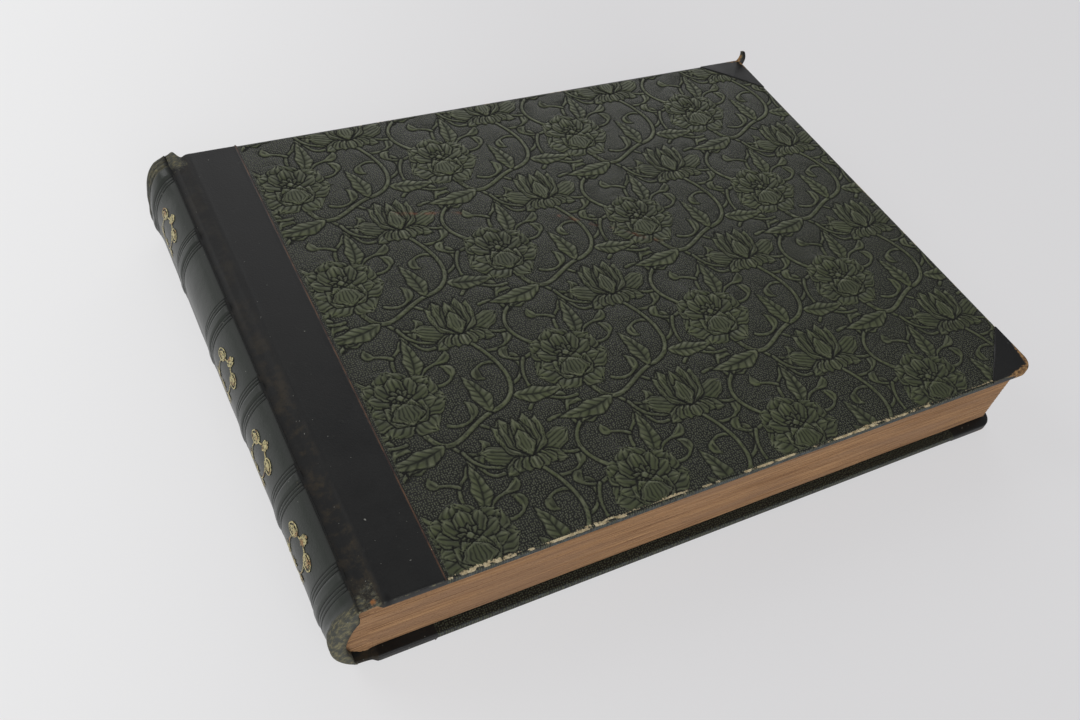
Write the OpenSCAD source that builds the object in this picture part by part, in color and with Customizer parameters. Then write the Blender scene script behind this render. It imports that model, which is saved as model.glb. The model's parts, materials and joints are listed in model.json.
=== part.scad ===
// Oblong half-leather book lying on its back cover: rounded leather spine with raised bands,
// leather corners, boards faced with paper embossed in a scrolling peony pattern.
// X runs from the spine to the fore-edge, Y from tail to head, Z up from the resting face.

/* [Boards] */
// Length of a covered board, spine edge to fore-edge
board_l = 331.5; // [240:1:380]
// Height of a covered board, tail to head
board_h = 260; // [240:1:320]
// Thickness of the pasteboard core
board_t = 2.9; // [2:0.1:5]
// Covering wrapped round the edges of a board
edge_t = 0.6; // [0.4:0.1:1]
// Radius of the bumped fore-edge corner at the tail
tail_bump_r = 8; // [2:0.5:12]
// Radius of the fore-edge corner at the head
head_bump_r = 2; // [1:0.5:8]
// Covering left bare round the pasted-down endpaper
turn_in = 9; // [2:0.5:14]

/* [Text block] */
// Thickness of the leaves pressed together
block_t = 37.3; // [30:0.5:44]
// Overhang of the boards past the leaves at head and tail
square_y = 5; // [2:0.5:8]
// Overhang of the boards past the leaves at the fore-edge
square_x = 3.8; // [2:0.2:8]
// Thickness of a free endpaper
flyleaf_t = 0.2; // [0.15:0.05:0.4]
// Thickness of an endpaper pasted to its board
pastedown_t = 0.4; // [0.2:0.05:0.6]
// Air between each cover and the leaves
air = 0.3; // [0.2:0.05:0.5]
// Width of the backed shoulder beside the spine
shoulder_w = 5; // [3:0.5:6]

/* [Leather] */
// Thickness of the leather on the boards
leather_t = 0.9; // [0.7:0.1:1.4]
// Width of the spine leather carried on to the boards
strip_w = 24.5; // [15:0.5:60]
// Leg of the leather corners along the board edges
corner_w = 28; // [15:0.5:60]
// Width of the ruled line along the edge of the leather
fillet_w = 0.6; // [0.4:0.1:2]
// Distance of the ruled line from the edge of the leather
fillet_in = 0.3; // [0.2:0.1:2]
// Depth of the ruled line
fillet_d = 0.15; // [0.1:0.05:0.3]

/* [Spine] */
// Bulge of the spine past the joint crease
spine_bulge = 10.5; // [9:0.5:16]
// Width of the joint between crease and board
joint_w = 8.9; // [7.5:0.1:12]
// Depth of the joint crease below the face of the boards
crease_d = 1.8; // [1:0.1:3]
// Radius of the round line pressed along the joint crease
crease_r = 0.5; // [0.3:0.05:0.8]
// Depth of the joint leather below the boards at their edge
joint_step = 0.25; // [0.1:0.05:0.6]
// Gap between the joint leather and the board
joint_gap = 0.6; // [0.5:0.1:1]
// Thickness of the leather on the spine
spine_leather_t = 1.2; // [0.8:0.1:1.6]
// Thickness of the paper linings on the back of the leaves
lining_t = 2.4; // [1:0.1:3]
// Distance of the lining from the ends of the leaves
lining_in = 1; // [0.5:0.5:5]
// Distance of the head and tail caps inside the board edges
cap_in = 1; // [0.5:0.5:3]
// Depth of the leather turned in at the caps
cap_lip = 4.6; // [3:0.2:6]
// Thickness of the caps along the spine
cap_t = 2.4; // [1.5:0.1:3]

/* [Raised bands] */
// Number of raised bands
band_n = 6; // [4:1:7]
// Distance of the first band from the tail
band_first = 17; // [12:0.5:30]
// Distance of the last band from the head
band_last = 9.4; // [8:0.2:20]
// Width of the cord strip under a band
band_w = 3.2; // [2.4:0.2:8]
// Height of a band above the spine
band_t = 0.7; // [0.7:0.1:2.2]
// Glue between a cord strip and what lies over and under it
band_glue = 0.3; // [0.2:0.05:0.4]
// Distance of the ends of a cord strip from the joint creases
band_end = 2; // [1.5:0.5:8]
// Pitch of the blind lines beside a band
line_pitch = 1.6; // [1.2:0.1:3]
// Width of a blind line
line_w = 0.5; // [0.4:0.1:1]
// Depth of a blind line
line_d = 0.3; // [0.1:0.05:0.4]

/* [Gilding] */
// Angle of the gilt wreaths above the middle of the spine, towards the front cover
gilt_angle = 11; // [-10:1:16]
// Length of a wreath's ring along the spine
wreath_h = 15.5; // [10:0.5:20]
// Width of a wreath's ring round the spine
wreath_w = 15; // [8:0.5:17]
// Width of a gilt line
gilt_line = 0.6; // [0.4:0.05:1]
// Thickness of the gilding
gilt_t = 0.1; // [0.05:0.05:0.2]
// Clearance between the gilding and the leather
gilt_air = 0.1; // [0.05:0.05:0.3]

/* [Embossed paper] */
// Thickness of the plain paper under the relief
paper_t = 0.4; // [0.3:0.05:0.6]
// Height of the leaves and outer petals above the ground
relief_low = 0.28; // [0.15:0.01:0.4]
// Plain margin between the relief and the edge of the paper
relief_margin = 1.2; // [0.5:0.1:4]
// Width of one repeat of the pattern
repeat_x = 78; // [70:1:120]
// Height of one repeat of the pattern
repeat_y = 70; // [62:1:120]

/* [Hidden] */
$fn = 96;

cover_t = leather_t + board_t + pastedown_t;
total_t = block_t + 2 * (flyleaf_t + air + cover_t);
total_l = band_t + spine_bulge + joint_w + board_l;
mid_z = total_t / 2;
half_h = board_h / 2;
x_left = -total_l / 2 + band_t;
x_hinge = x_left + spine_bulge;
x_board = x_hinge + joint_w;
x_fore = x_board + board_l;
x_strip = x_board + strip_w;
x_leaves = x_fore - square_x;
leaves_h = board_h - 2 * square_y;

// The spine is an arc through both creases and the far point of the bulge
crease_z = total_t / 2 - crease_d;
spine_r = (spine_bulge * spine_bulge + crease_z * crease_z) / (2 * spine_bulge);
spine_x = x_left + spine_r;
spine_half = atan2(crease_z, spine_r - spine_bulge);
lining_r = spine_r - spine_leather_t;
block_r = lining_r - lining_t;
spine_h = board_h - 2 * cap_in;
band_pitch = (board_h - band_first - band_last) / (band_n - 1);
// Growth of drawn outlines, so that shapes that touch are joined
outline_join = 0.01;

function band_y(i) = -half_h + band_first + i * band_pitch;

// A solid swept round the spine's own axis, to within an angle of both creases
module round_spine(short_by = 0) {
  half = spine_half - short_by;
  translate([spine_x, 0, mid_z])
    rotate([90, 0, 0])
      rotate(180 - half)
        rotate_extrude(angle = 2 * half)
          mirror([0, 1])
            children();
}

// The plan of a covered board, drawn inwards by a distance d
module board_plan(d) {
  tail_r = max(tail_bump_r - d, 0.5);
  head_r = max(head_bump_r - d, 0.5);
  x0 = x_board + d;
  x1 = x_fore - d;
  y1 = half_h - d;
  difference() {
    translate([x0, -y1])
      square([x1 - x0, 2 * y1]);
    rounded_off(x1, -y1, tail_r, -1);
    rounded_off(x1, y1, head_r, 1);
  }
}

// What a rounded fore-edge corner takes away
module rounded_off(x, y, r, side) {
  difference() {
    translate([x - r, side < 0 ? y - 1 : y - r])
      square([r + 1, r + 1]);
    translate([x - r, y - side * r])
      circle(r = r);
  }
}

// The pasted-down endpaper's outline
module pastedown_plan() {
  translate([x_board + turn_in, -half_h + turn_in])
    square([board_l - 2 * turn_in, board_h - 2 * turn_in]);
}

// Leather corner outline, side -1 at the tail and 1 at the head
module corner_plan(side) {
  polygon([[x_fore + 1, side * (half_h + 1)],
           [x_fore - corner_w - 1, side * (half_h + 1)],
           [x_fore - corner_w, side * half_h],
           [x_fore, side * (half_h - corner_w)],
           [x_fore + 1, side * (half_h - corner_w - 1)]]);
}

// The covering of one board, outer face up, before it is cut into its pieces
module covering(top_t) {
  difference() {
    translate([0, 0, -cover_t])
      linear_extrude(cover_t - leather_t + top_t)
        board_plan(0);
    translate([0, 0, -leather_t - board_t])
      linear_extrude(board_t)
        board_plan(edge_t);
    translate([0, 0, -cover_t - 1])
      linear_extrude(pastedown_t + 1)
        pastedown_plan();
  }
}

// Puts a cover piece, drawn with its outer face at z = 0, on the front or the back of the book
module on_cover(front) {
  translate([0, 0, front ? total_t : 0])
    mirror([0, 0, front ? 0 : 1])
      children();
}

module board(front) {
  on_cover(front)
    translate([0, 0, -leather_t - board_t])
      linear_extrude(board_t)
        board_plan(edge_t);
}

module pastedown(front) {
  on_cover(front)
    translate([0, 0, -cover_t])
      linear_extrude(pastedown_t)
        pastedown_plan();
}

module leather_strip(front) {
  on_cover(front)
    difference() {
      intersection() {
        covering(leather_t);
        translate([x_board - 1, -board_h, -cover_t - 1])
          cube([strip_w + 1, 2 * board_h, cover_t + 2]);
      }
      translate([x_strip - fillet_in - fillet_w, -board_h, -fillet_d])
        cube([fillet_w, 2 * board_h, 1]);
    }
}

module fillet_line(front) {
  on_cover(front)
    translate([x_strip - fillet_in - fillet_w, -half_h, -fillet_d])
      cube([fillet_w, board_h, fillet_d]);
}

module leather_corner(front, side) {
  on_cover(front)
    intersection() {
      covering(leather_t);
      translate([0, 0, -cover_t - 1])
        linear_extrude(cover_t + 2)
          corner_plan(side);
    }
}

// Everything on the face of a board that isn't leather
module paper_plan(d) {
  difference() {
    intersection() {
      board_plan(d);
      translate([x_strip + d, -half_h])
        square([x_fore - x_strip, board_h]);
    }
    for (side = [-1, 1])
      translate([-d, -side * d])
        corner_plan(side);
  }
}

module side_paper(front) {
  on_cover(front)
    union() {
      intersection() {
        covering(paper_t);
        translate([0, 0, -cover_t - 1])
          linear_extrude(cover_t + 2)
            paper_plan(0);
      }
      translate([0, 0, paper_t - leather_t])
        linear_extrude(relief_low)
          offset(delta = outline_join)
            intersection() {
              paper_plan(relief_margin);
              pattern(true);
            }
      translate([0, 0, paper_t - leather_t])
        linear_extrude(leather_t - paper_t)
          offset(delta = outline_join)
            intersection() {
              paper_plan(relief_margin);
              pattern(false);
            }
    }
}

// Outline of a petal or leaf along +X, bent sideways by its curl; widest near its root at a
// swell below 1 and near its tip above 1
function petal(l, w, curl, swell, n = 3) = concat(
  [for (i = [0:n]) petal_point(l, w / 2, curl, swell, i / n)],
  [for (i = [n - 1:-1:1]) petal_point(l, -w / 2, curl, swell, i / n)]);
function petal_point(l, half_w, curl, swell, t) =
  [l * t, half_w * sin(180 * pow(t, swell)) + curl * t * t];

// A point on a cubic curve, and the direction to its left
function curve(p, t) = pow(1 - t, 3) * p[0] + 3 * t * pow(1 - t, 2) * p[1]
  + 3 * t * t * (1 - t) * p[2] + pow(t, 3) * p[3];
function curve_side(p, t) =
  let (d = curve(p, t + 0.01) - curve(p, t - 0.01))
  [-d[1], d[0]] / norm(d);

// A stem along a cubic curve, w wide
module stem(p, w, n = 5) {
  left = [for (i = [0:n]) curve(p, i / n) + curve_side(p, i / n) * w / 2];
  right = [for (i = [n:-1:0]) curve(p, i / n) - curve_side(p, i / n) * w / 2];
  polygon(concat(left, right));
}

module leaf(at, angle, l, w, curl) {
  translate(at)
    rotate(angle)
      polygon(petal(l, w, curl, 0.8));
}

module flower_petal(at, angle, l, w, curl = 0, n = 3) {
  translate(at)
    rotate(angle)
      polygon(petal(l, w, curl, 1.15, n));
}

// An open peony seen at a slant: a fan of outer petals round a cupped heart
module peony(low) {
  if (low) {
    for (i = [-3:3])
      flower_petal([0, 0], 90 + 50 * i, 25 - abs(i), 17, i % 2 == 0 ? 1 : -1, 4);
  } else {
    for (i = [-2:2])
      flower_petal([0, 1], 90 + 40 * i, 15, 7.5, -i);
    translate([0, -6])
      scale([1.7, 1])
        circle(r = 5.4, $fn = 10);
  }
}

// A half-closed peony from the side: upright petals over a ruffled skirt
module closed_peony(low) {
  if (low) {
    for (i = [-1:1])
      flower_petal([0, -8], 90 + 36 * i, 27 - 3 * abs(i), 16, i, 4);
    for (i = [-2:2])
      flower_petal([0, -6], 270 + 34 * i, 13, 9);
  } else {
    for (i = [-1:1])
      flower_petal([0, -7], 90 + 24 * i, 21, 6.5, -2 * i);
  }
}

// Two flowers with their stem and leaves, drawn for a repeat of 96 by 86
module spray(low) {
  peony(low);
  translate([48, 43])
    closed_peony(low);
  if (low) {
    stem([[1, -15], [8, -48], [24, -22], [42, -19]], 2.6, 4);
    stem([[42, -19], [62, -15], [64, 6], [48, 30]], 2.6, 4);
    leaf([9, -31], 205, 34, 10, -11);
    leaf([40, -19], 84, 36, 10, 8);
    leaf([56, -13], -24, 27, 9, 8);
    leaf([58.5, 3], 40, 20, 9, -8);
    leaf([-9, 14], 128, 30, 11, -6);
    leaf([9, 14], 62, 28, 10, 8);
  }
}

// The sprays over the whole board
module pattern(low) {
  rows = ceil(half_h / repeat_y) + 1;
  for (i = [0:ceil((x_fore - x_strip) / repeat_x)], j = [-rows:rows])
    translate([x_strip + (i + 0.2) * repeat_x, (j + 0.3) * repeat_y])
      scale([repeat_x / 96, repeat_y / 86])
        spray(low);
}

// Leaves of the book with the rounded back and the backed shoulders
module text_block() {
  color("tan")
    translate([0, leaves_h / 2, mid_z])
      rotate([90, 0, 0])
        linear_extrude(leaves_h)
          block_section();
}

module block_section() {
  shoulder_x = x_hinge + shoulder_w;
  shoulder_z = sqrt(block_r * block_r - pow(spine_x - shoulder_x, 2));
  half_t = block_t / 2;
  intersection() {
    union() {
      translate([spine_x, 0])
        circle(r = block_r);
      translate([spine_x, -total_t / 2])
        square([x_leaves - spine_x, total_t]);
    }
    polygon([[x_left, shoulder_z], [shoulder_x, shoulder_z], [x_board - joint_gap, half_t],
             [x_leaves, half_t], [x_leaves, -half_t],
             [x_board - joint_gap, -half_t], [shoulder_x, -shoulder_z], [x_left, -shoulder_z]]);
  }
}

module flyleaf(front) {
  color("wheat")
    translate([x_board - joint_gap, -leaves_h / 2, mid_z + (front ? block_t / 2 : -block_t / 2 - flyleaf_t)])
      cube([x_leaves - x_board + joint_gap, leaves_h, flyleaf_t]);
}

module spine_lining() {
  color("saddlebrown")
    round_spine()
      translate([block_r, -leaves_h / 2 + lining_in])
        square([lining_t, leaves_h - 2 * lining_in]);
}

// Section of a band or of the leather over it: a low flat-topped mound
module mound(r, w, t) {
  translate([r - 1, -w / 2])
    square([1 + t / 2, w]);
  translate([r - 1, -w / 2 + t / 2])
    square([1 + t, w - t]);
  for (side = [-1, 1])
    translate([r + t / 2, side * (w - t) / 2])
      circle(d = t, $fn = 48);
}

module band(i) {
  color("burlywood")
    round_spine(band_end / lining_r * 180 / PI)
      intersection() {
        translate([0, band_y(i)])
          mound(lining_r, band_w, band_t);
        translate([lining_r + band_glue, band_y(i) - band_w])
          square([band_t + 1, 2 * band_w]);
      }
}

// Leather from cap to cap and out to both boards, with a round line along each crease
module spine_leather() {
  color("dimgray")
    difference() {
      union() {
        spine_skin();
        for (side = [-1, 1])
          joint_leather(side);
      }
      for (side = [-1, 1])
        translate([x_hinge, 0, mid_z + side * crease_z])
          rotate([90, 0, 0])
            cylinder(r = crease_r, h = board_h, center = true);
    }
}

// Leather round the spine, moulded over the bands, with blind lines beside them
module spine_skin() {
  round_spine()
    difference() {
      union() {
        translate([lining_r, -spine_h / 2 + cap_t / 2])
          square([spine_leather_t, spine_h - cap_t]);
        for (i = [0:band_n - 1])
          translate([0, band_y(i)])
            mound(spine_r, band_w + 2 * spine_leather_t, band_t);
        for (side = [-1, 1])
          cap_section(side);
      }
      translate([0, -board_h])
        square([block_r - cap_lip, 2 * board_h]);
      translate([block_r - cap_lip, -spine_h / 2 + cap_t])
        square([lining_r - block_r + cap_lip, spine_h - 2 * cap_t]);
      for (i = [0:band_n - 1])
        translate([0, band_y(i)]) {
          mound(lining_r, band_w + 2 * band_glue, band_t + band_glue);
          for (side = [-1, 1], k = [1, 2])
            translate([spine_r - line_d, side * (band_w / 2 + spine_leather_t + k * line_pitch) - line_w / 2])
              square([line_d + 1, line_w]);
        }
    }
}

// Rounded cap where the leather turns in at the end of the spine
module cap_section(side) {
  end_y = side * (spine_h - cap_t) / 2;
  translate([spine_r - cap_t / 2, end_y])
    circle(d = cap_t, $fn = 48);
  translate([block_r - cap_lip, end_y - cap_t / 2])
    square([spine_r - cap_t / 2 - block_r + cap_lip, cap_t]);
}

// Leather between the crease and the edge of a board
module joint_leather(side) {
  outer_z = total_t / 2 - joint_step;
  end_x = x_board - joint_gap;
  root_r = lining_r + spine_leather_t / 2;
  root_a = spine_half - 1.5;
  translate([0, spine_h / 2, mid_z])
    rotate([90, 0, 0])
      linear_extrude(spine_h)
        polygon([[x_hinge, side * crease_z], [end_x, side * outer_z],
                 [end_x, side * (outer_z - spine_leather_t)],
                 [spine_x - lining_r * cos(spine_half), side * lining_r * sin(spine_half)],
                 [spine_x - root_r * cos(root_a), side * root_r * sin(root_a)]]);
}

// A flat ring, drawn as an ellipse
module ring(w, h) {
  difference() {
    resized_circle(w, h);
    resized_circle(w - 2 * gilt_line, h - 2 * gilt_line);
  }
}

module resized_circle(w, h) {
  scale([w / 2, h / 2])
    circle(r = 1, $fn = 32);
}

// A bud inside a loop, pointing along +X from the ring of a wreath
module wreath_bud() {
  translate([wreath_w * 0.24, 0])
    ring(wreath_w * 0.5, wreath_w * 0.34);
  polygon(petal(wreath_w * 0.42, wreath_w * 0.2, 0, 1.25));
}

// Three small leaves spread round +X
module wreath_sprig(l) {
  for (turn = [-40, 0, 40])
    rotate(turn)
      polygon(petal(wreath_w * l, wreath_w * 0.09, 0, 0.8));
}

// A gilt wreath lying flat, X towards the front cover: a ring with a rosette at its top
// between two looped buds, and sprigs at its foot. Its small shapes are shares of its width
module wreath() {
  ring(wreath_w, wreath_h);
  translate([wreath_w * 0.56, 0]) {
    circle(r = wreath_w * 0.08, $fn = 10);
    for (turn = [0:60:300])
      rotate(turn)
        translate([wreath_w * 0.1, 0])
          circle(r = wreath_w * 0.065, $fn = 8);
  }
  for (side = [-1, 1]) {
    translate([wreath_w * 0.4, side * wreath_h * 0.28])
      rotate(side * 102)
        wreath_bud();
    translate([wreath_w * -0.3, side * wreath_h * 0.38])
      rotate(side * 125)
        wreath_sprig(0.3);
  }
  translate([wreath_w * -0.48, 0])
    wreath_sprig(0.26);
}

// A wreath laid round the spine, in the panel above band i
module gilt_wreath(i) {
  color("gold")
    intersection() {
      translate([spine_x, 0, mid_z])
        rotate([90, 0, 0])
          difference() {
            cylinder(r = spine_r + gilt_air + gilt_t, h = board_h, center = true);
            cylinder(r = spine_r + gilt_air, h = board_h + 1, center = true);
          }
      translate([spine_x, band_y(i) + band_pitch / 2, mid_z])
        rotate([0, gilt_angle - 90, 0])
          linear_extrude(spine_r + band_t)
            offset(delta = outline_join)
              wreath();
    }
}

text_block();
flyleaf(true);  // front_flyleaf
flyleaf(false);  // back_flyleaf
spine_lining();
band(0);  // band_1
band(1);  // band_2
band(2);  // band_3
band(3);  // band_4
band(4);  // band_5
band(5);  // band_6
spine_leather();
gilt_wreath(0);  // gilt_wreath_1
gilt_wreath(1);  // gilt_wreath_2
gilt_wreath(2);  // gilt_wreath_3
gilt_wreath(4);  // gilt_wreath_4
color("peru") board(true);  // front_board
color("darkolivegreen") side_paper(true);  // front_side_paper
color("darkslategray") leather_strip(true);  // front_leather_strip
color("sienna") fillet_line(true);  // front_fillet
color("darkslategray") leather_corner(true, -1);  // front_corner_tail
color("darkslategray") leather_corner(true, 1);  // front_corner_head
color("wheat") pastedown(true);  // front_pastedown
color("peru") board(false);  // back_board
color("darkolivegreen") side_paper(false);  // back_side_paper
color("darkslategray") leather_strip(false);  // back_leather_strip
color("sienna") fillet_line(false);  // back_fillet
color("darkslategray") leather_corner(false, -1);  // back_corner_tail
color("darkslategray") leather_corner(false, 1);  // back_corner_head
color("wheat") pastedown(false);  // back_pastedown
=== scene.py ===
"""Antique half-leather book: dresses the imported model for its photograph.

Sizes are in millimetres in the shared frame (X spine to fore-edge, Y tail to head, Z up) and
turn into metres when a mesh is made.
"""
import json
from functools import partial
from math import atan2, cos, hypot, pi, radians, sin, sqrt

import bpy
import numpy as np
from mathutils import Matrix, Vector


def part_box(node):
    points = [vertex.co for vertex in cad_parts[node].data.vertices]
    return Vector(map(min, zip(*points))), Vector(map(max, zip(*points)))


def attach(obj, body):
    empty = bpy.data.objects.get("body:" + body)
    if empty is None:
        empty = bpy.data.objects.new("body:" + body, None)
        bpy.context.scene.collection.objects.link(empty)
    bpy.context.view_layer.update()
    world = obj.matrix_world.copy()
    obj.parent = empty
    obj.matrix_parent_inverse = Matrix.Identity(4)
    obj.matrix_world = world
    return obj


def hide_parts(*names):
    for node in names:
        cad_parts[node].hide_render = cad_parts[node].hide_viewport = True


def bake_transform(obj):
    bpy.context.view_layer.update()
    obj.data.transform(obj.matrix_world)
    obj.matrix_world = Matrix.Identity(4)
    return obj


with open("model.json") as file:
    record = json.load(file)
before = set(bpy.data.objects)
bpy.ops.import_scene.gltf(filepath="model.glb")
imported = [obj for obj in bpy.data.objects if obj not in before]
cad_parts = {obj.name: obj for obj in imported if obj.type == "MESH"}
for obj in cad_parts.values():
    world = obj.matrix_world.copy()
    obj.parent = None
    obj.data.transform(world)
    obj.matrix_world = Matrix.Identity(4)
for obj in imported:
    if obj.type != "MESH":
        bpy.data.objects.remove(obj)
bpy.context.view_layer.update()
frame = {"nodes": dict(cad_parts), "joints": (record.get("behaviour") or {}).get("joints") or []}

MM = 0.001


# Sizes read from the frame


def extent(node):
    """Lowest and highest corner of a CAD node, in millimetres."""
    low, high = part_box(node)
    return np.array(low) / MM, np.array(high) / MM


strip_low, strip_high = extent("front_leather_strip")
corner_low, corner_high = extent("front_corner_tail")
block_low, block_high = extent("text_block")
fillet_low, fillet_high = extent("front_fillet")
pastedown_low = extent("front_pastedown")[0]
spine_low, spine_high = extent("spine_leather")
hinge = np.array(frame["joints"][0]["pos_m"]) / MM

TOP = strip_high[2]
MID_Z = TOP / 2
COVER_T = TOP - strip_low[2]
HALF_H = strip_high[1]
X_BOARD = strip_low[0]
X_STRIP = strip_high[0]
X_FORE = corner_high[0]
CORNER_W = X_FORE - corner_low[0]
TURN_IN = pastedown_low[1] + HALF_H
CAP_Y = spine_high[1]
LEAVES_Y = block_high[1]
X_LEAVES = block_high[0]
X_HINGE = hinge[0]
CREASE_Z = hinge[2] - MID_Z
BAND_Y = [float(extent(f"band_{i}")[0][1] + extent(f"band_{i}")[1][1]) / 2 for i in range(1, 7)]
BAND_W = float(extent("band_1")[1][1] - extent("band_1")[0][1])
SPINE_LEATHER_T = extent("band_1")[0][0] - spine_low[0]

# Sizes of the binding that no box of the frame holds
BAND_RISE = 0.7
PAPER_DROP = 0.5
TAIL_BUMP_R = 8.0
HEAD_BUMP_R = 2.0
EDGE_R = 0.9
CAP_T = 2.4
CAP_DEPTH = 8.2
LINE_PITCH = 1.6
FILLET_DEPTH = 0.15
GILT_ANGLE = radians(11)
FLAP_W = 4.6
FLAP_H = 7.0

# How far the pulled head cap stands out, and how far it is drawn past the head
HEAD_LOBE = 2.3
HEAD_SHIFT = 2.6

# The spine is an arc through both creases and the far point of the bulge
X_LEFT = spine_low[0] + BAND_RISE
BULGE = X_HINGE - X_LEFT
SPINE_R = (BULGE**2 + CREASE_Z**2) / (2 * BULGE)
SPINE_X = X_LEFT + SPINE_R
SPINE_HALF = atan2(CREASE_Z, SPINE_R - BULGE)


# Numbers and meshes


def smooth(low, high, value):
    """Smooth step from 0 at low to 1 at high."""
    t = np.clip((value - low) / (high - low), 0, 1)
    return t * t * (3 - 2 * t)


def mound(centre, width, value):
    """Bell curve of a half-width round a centre."""
    return np.exp(-(((value - centre) / width) ** 2))


def lattice(ix, iy, seed):
    """Repeatable values from 0 to 1 at whole-number points."""
    value = np.sin(ix * 127.1 + iy * 311.7 + seed * 74.7) * 43758.5453
    return value - np.floor(value)


def noise(x, y, size, seed):
    """Smooth noise from 0 to 1 with features of a size in millimetres."""
    x, y = np.broadcast_arrays(np.asarray(x, float) / size, np.asarray(y, float) / size)
    ix, iy = np.floor(x), np.floor(y)
    fx, fy = x - ix, y - iy
    fx, fy = fx * fx * (3 - 2 * fx), fy * fy * (3 - 2 * fy)
    low = lattice(ix, iy, seed) * (1 - fx) + lattice(ix + 1, iy, seed) * fx
    high = lattice(ix, iy + 1, seed) * (1 - fx) + lattice(ix + 1, iy + 1, seed) * fx
    return low * (1 - fy) + high * fy


def marked(mesh, attributes):
    """Stores painted numbers on a mesh's points, for its material to read."""
    for key, values in attributes.items():
        layer = mesh.attributes.get(key) or mesh.attributes.new(key, "FLOAT", "POINT")
        layer.data.foreach_set("value", np.asarray(values, np.float32).ravel())


def piece(name, verts, faces, material, attributes=None):
    """Makes a smooth-shaded mesh object from points in millimetres."""
    mesh = bpy.data.meshes.new(name)
    mesh.from_pydata((np.asarray(verts, float) * MM).tolist(), [], [list(face) for face in faces])
    marked(mesh, attributes or {})
    mesh.shade_smooth()
    mesh.materials.append(material)
    obj = bpy.data.objects.new(name, mesh)
    bpy.context.scene.collection.objects.link(obj)
    return obj


def grid_faces(rows, cols, closed=False):
    """Quads of a grid of points, wrapped round its columns where closed."""
    index = np.arange(rows * cols).reshape(rows, cols)
    if closed:
        index = np.hstack([index, index[:, :1]])
    quads = [index[:-1, :-1], index[:-1, 1:], index[1:, 1:], index[1:, :-1]]
    return np.stack([q.ravel() for q in quads], axis=1)


def grid_piece(name, points, material, attributes=None, flip=False, closed=False):
    """A sheet from a grid of points, (rows, columns, 3)."""
    faces = grid_faces(points.shape[0], points.shape[1], closed)
    faces = faces[:, ::-1] if flip else faces
    return piece(name, points.reshape(-1, 3), faces.tolist(), material, attributes)


def apply_modifiers(obj):
    """Gives an object the mesh that its modifiers make."""
    shaped = obj.evaluated_get(bpy.context.evaluated_depsgraph_get())
    obj.data = bpy.data.meshes.new_from_object(shaped)
    obj.modifiers.clear()


# Materials


def linear(hex_colour):
    """Linear RGBA of an sRGB hex colour."""
    channels = [int(hex_colour[i : i + 2], 16) / 255 for i in (1, 3, 5)]
    return [c / 12.92 if c <= 0.04045 else ((c + 0.055) / 1.055) ** 2.4 for c in channels] + [1]


def add(tree, kind, inputs, output=0, **settings):
    """Adds a shader node with its settings, values and links, and gives one of its outputs."""
    node = tree.nodes.new("ShaderNode" + kind)
    for name, value in settings.items():
        setattr(node, name, value)
    for name, value in inputs.items():
        if isinstance(value, bpy.types.NodeSocket):
            tree.links.new(value, node.inputs[name])
        else:
            node.inputs[name].default_value = linear(value) if isinstance(value, str) else value
    return node.outputs[output]


def per_mm(*sizes):
    """Scale of a texture whose features are so many millimetres, for each axis given."""
    scales = [1 / (size * MM) for size in sizes]
    return scales if len(scales) > 1 else scales[0]


def finish(name, roughness, metallic=0.0):
    """A new material with its tree, its shader and the place on the object."""
    made = bpy.data.materials.new(name)
    made.use_nodes = True
    shader = made.node_tree.nodes["Principled BSDF"]
    shader.inputs["Roughness"].default_value = roughness
    shader.inputs["Metallic"].default_value = metallic
    return made, made.node_tree, shader, add(made.node_tree, "TexCoord", {}, "Object")


def surface(tree, shader, colour, height, depth, strength=1.0):
    """Gives a shader its colour, and a fine relief of a depth in millimetres."""
    tree.links.new(colour, shader.inputs["Base Color"])
    relief = {"Height": height, "Distance": depth * MM, "Strength": strength}
    tree.links.new(add(tree, "Bump", relief), shader.inputs["Normal"])


def patches(tree, place, size, low, high, amount=1.0, detail=5.0, rough=0.7):
    """Ragged patches: 0 where a cloudy noise of a size is under low, the amount over high.

    Three sizes, along X, Y and Z, draw the patches out.
    """
    if isinstance(size, tuple):
        place, size = add(tree, "Mapping", {"Vector": place, "Scale": per_mm(*size)}), 1 / MM
    cloud = {"Vector": place, "Scale": per_mm(size), "Detail": detail, "Roughness": rough}
    cloud = add(tree, "TexNoise", cloud)
    limits = {"Value": cloud, "From Min": low, "From Max": high, "To Max": amount}
    return add(tree, "MapRange", limits, interpolation_type="SMOOTHSTEP")


def two_tone(tree, place, size, low, high, first, second, detail=5.0):
    """A colour that goes over into a second one in ragged patches."""
    share = patches(tree, place, size, low, high, 1.0, detail)
    return add(tree, "Mix", {0: share, 6: first, 7: second}, 2, data_type="RGBA")


def worn_patches(tree, place, painted, size, reach=0.9):
    """A painted mark with its rim broken up into ragged patches."""
    mark = add(tree, "Attribute", {}, "Fac", attribute_name=painted)
    cloud = {"Vector": place, "Scale": per_mm(size), "Detail": 6.0, "Roughness": 0.75}
    cloud = add(tree, "TexNoise", cloud)
    broken = add(tree, "Math", {0: cloud, 1: reach, 2: -reach / 2}, operation="MULTIPLY_ADD")
    total = add(tree, "Math", {0: mark, 1: broken}, operation="ADD")
    limits = {"Value": total, "From Min": 0.42, "From Max": 0.58}
    return add(tree, "MapRange", limits, interpolation_type="SMOOTHSTEP")


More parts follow.
